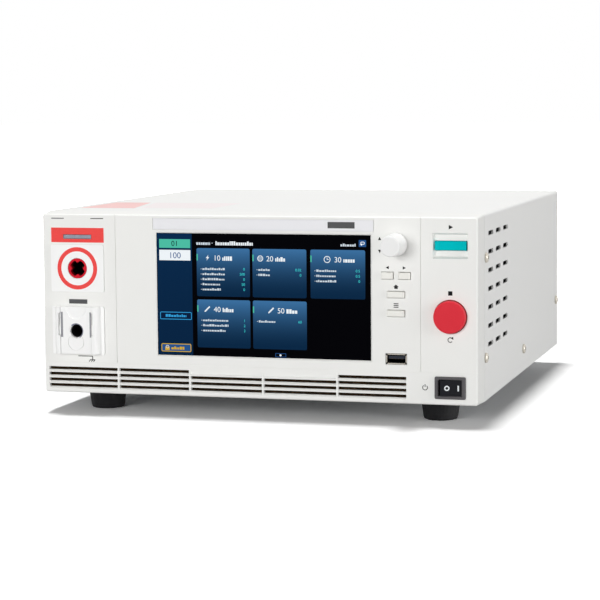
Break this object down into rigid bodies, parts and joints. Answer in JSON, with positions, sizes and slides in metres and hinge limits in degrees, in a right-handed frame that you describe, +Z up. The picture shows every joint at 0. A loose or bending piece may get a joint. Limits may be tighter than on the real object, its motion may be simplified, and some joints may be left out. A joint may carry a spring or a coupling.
{
  "type": "hipot tester",
  "caption": "Bench withstand-voltage tester with a touch screen, keyed high-voltage socket, lockable return terminal, start and stop buttons, jog knob and rocker switch.",
  "frame": {"origin": "centre of the footprint, on the bench under the feet", "axes": "+Z up; the front panel faces -Y; +X to the right of a person who faces the front"},
  "size_m": [0.3242, 0.3806, 0.1457],
  "materials": {
    "moulding": "fine-grained off-white moulding",
    "cover_paint": "off-white powder coat on steel sheet",
    "zinc": "zinc-plated sheet",
    "nickel": "nickel plate",
    "contact": "gold-plated contact",
    "rubber": "matt black rubber",
    "black": "black moulding",
    "screen": "glossy touch panel",
    "lamp": "smoked lens",
    "red_socket": "satin red moulding",
    "red_button": "satin red moulding",
    "teal_button": "satin teal moulding",
    "board": "solder resist on glass-fibre board",
    "core": "stacked core steel",
    "coil": "taped winding",
    "fins": "plain aluminium extrusion"
  },
  "bodies": {
    "root": {"ac_inlet": "black", "bottom_chassis": "zinc", "control_board": "board", "cover_screw_left_1": "nickel", "cover_screw_left_2": "nickel", "cover_screw_left_3": "nickel", "cover_screw_left_4": "nickel", "cover_screw_right_1": "nickel", "cover_screw_right_2": "nickel", "cover_screw_right_3": "nickel", "cover_screw_right_4": "nickel", "fan_frame": "black", "fan_guard": "nickel", "foot_front_left": "rubber", "foot_front_right": "rubber", "foot_rear_left": "rubber", "foot_rear_right": "rubber", "foot_screw_front_left": "nickel", "foot_screw_front_right": "nickel", "foot_screw_rear_left": "nickel", "foot_screw_rear_right": "nickel", "front_bezel": "moulding", "ground_terminal": "nickel", "heat_sink": "fins", "hv_contact": "contact", "hv_socket": "red_socket", "hv_terminal_plate": "moulding", "interface_board": "board", "key_board": "board", "lan_port": "nickel", "lcd_bracket": "zinc", "lcd_module": "zinc", "low_socket": "black", "low_terminal_block": "moulding", "name_strip": "moulding", "output_lamp_lens": "lamp", "power_board": "board", "power_switch_frame": "black", "rear_panel": "cover_paint", "rotary_encoder": "nickel", "serial_connector": "nickel", "signal_connector": "nickel", "start_switch": "black", "stop_switch": "black", "top_cover": "cover_paint", "touch_panel": "screen", "transformer_core": "core", "transformer_winding": "coil", "usb_device_port": "nickel", "usb_host_port": "nickel"},
    "start_button_body": {"start_button": "teal_button"},
    "stop_button_body": {"stop_button": "red_button"},
    "key_left_body": {"key_left": "moulding"},
    "key_right_body": {"key_right": "moulding"},
    "key_home_body": {"key_home": "moulding"},
    "key_memory_body": {"key_memory": "moulding"},
    "knob_body": {"jog_knob": "moulding"},
    "rocker_body": {"power_rocker": "black"},
    "slider_body": {"low_lock_slider": "moulding"},
    "fan_body": {"fan_rotor": "black"}
  },
  "joints": [
    {"name": "start_press", "type": "slide", "parent": "root", "child": "start_button_body", "axis": [0, 1, 0], "range_m": [0, 0.0025], "stiffness_N_per_m": 900},
    {"name": "stop_press", "type": "slide", "parent": "root", "child": "stop_button_body", "axis": [0, 1, 0], "range_m": [0, 0.003], "stiffness_N_per_m": 900},
    {"name": "key_left_press", "type": "slide", "parent": "root", "child": "key_left_body", "axis": [0, 1, 0], "range_m": [0, 0.001], "stiffness_N_per_m": 600},
    {"name": "key_right_press", "type": "slide", "parent": "root", "child": "key_right_body", "axis": [0, 1, 0], "range_m": [0, 0.001], "stiffness_N_per_m": 600},
    {"name": "key_home_press", "type": "slide", "parent": "root", "child": "key_home_body", "axis": [0, 1, 0], "range_m": [0, 0.001], "stiffness_N_per_m": 600},
    {"name": "key_memory_press", "type": "slide", "parent": "root", "child": "key_memory_body", "axis": [0, 1, 0], "range_m": [0, 0.001], "stiffness_N_per_m": 600},
    {"name": "knob_turn", "type": "hinge", "parent": "root", "child": "knob_body", "pos_m": [0.1017, -0.1717, 0.1251], "axis": [0, -1, 0], "continuous": true},
    {"name": "rocker_tilt", "type": "hinge", "parent": "root", "child": "rocker_body", "pos_m": [0.1395, -0.1687, 0.0274], "axis": [0, 0, -1], "range_deg": [0, 14]},
    {"name": "slider_lift", "type": "slide", "parent": "root", "child": "slider_body", "axis": [0, 0, 1], "range_m": [0, 0.008]},
    {"name": "fan_spin", "type": "hinge", "parent": "root", "child": "fan_body", "pos_m": [0.09, 0.1633, 0.0925], "axis": [0, 1, 0], "continuous": true}
  ]
}
